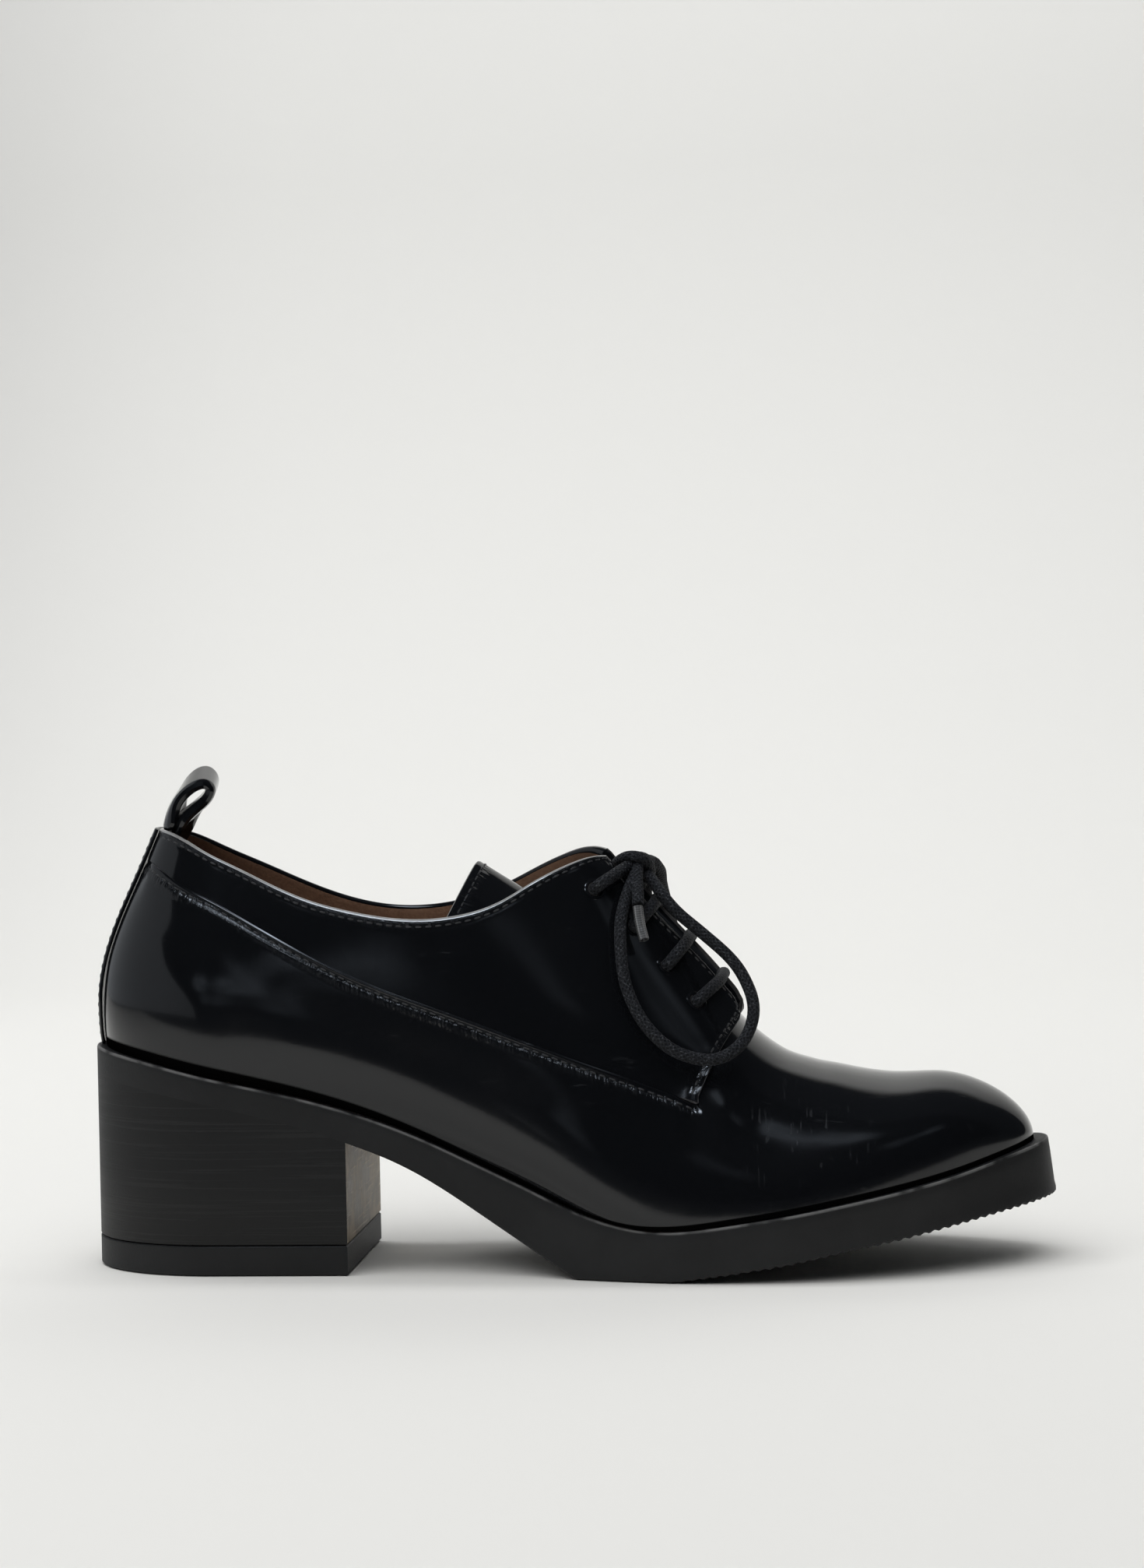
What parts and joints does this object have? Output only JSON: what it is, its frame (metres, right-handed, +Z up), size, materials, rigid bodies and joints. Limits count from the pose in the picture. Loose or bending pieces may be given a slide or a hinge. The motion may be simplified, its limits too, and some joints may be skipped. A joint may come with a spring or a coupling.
{
  "type": "heeled derby shoe",
  "caption": "Glossy black leather lace-up derby shoe with a block heel, a thick rubber sole that rises at the toe, open facings over a tongue, and a pull loop at the back.",
  "frame": {"origin": "middle of the shoe's length and width, without its bow, on the floor that it stands on", "axes": "+X to the toe, +Y to the inner side of the foot, +Z up"},
  "size_m": [0.2544, 0.0832, 0.1325],
  "materials": {
    "polished_leather": "high gloss, polished black",
    "lining_leather": "matte brown",
    "sole_rubber": "matte black",
    "heel_stack": "satin black, fine stack lines",
    "lace_cotton": "round waxed cord, black",
    "aglet_film": "clear grey film"
  },
  "bodies": {
    "root": {"outsole": "sole_rubber", "heel_block": "heel_stack", "heel_top_lift": "sole_rubber", "insole": "lining_leather", "upper": "polished_leather", "tongue": "polished_leather", "back_strip": "polished_leather", "pull_loop": "polished_leather", "lace_bar_1": "lace_cotton", "lace_bar_2": "lace_cotton", "lace_bar_3": "lace_cotton", "lace_tail_outer": "lace_cotton", "lace_tail_inner": "lace_cotton", "lace_knot": "lace_cotton", "lace_loop_outer": "lace_cotton", "lace_loop_inner": "lace_cotton", "lace_end_outer": "lace_cotton", "lace_end_inner": "lace_cotton", "aglet_outer": "aglet_film", "aglet_inner": "aglet_film"}
  },
  "joints": []
}
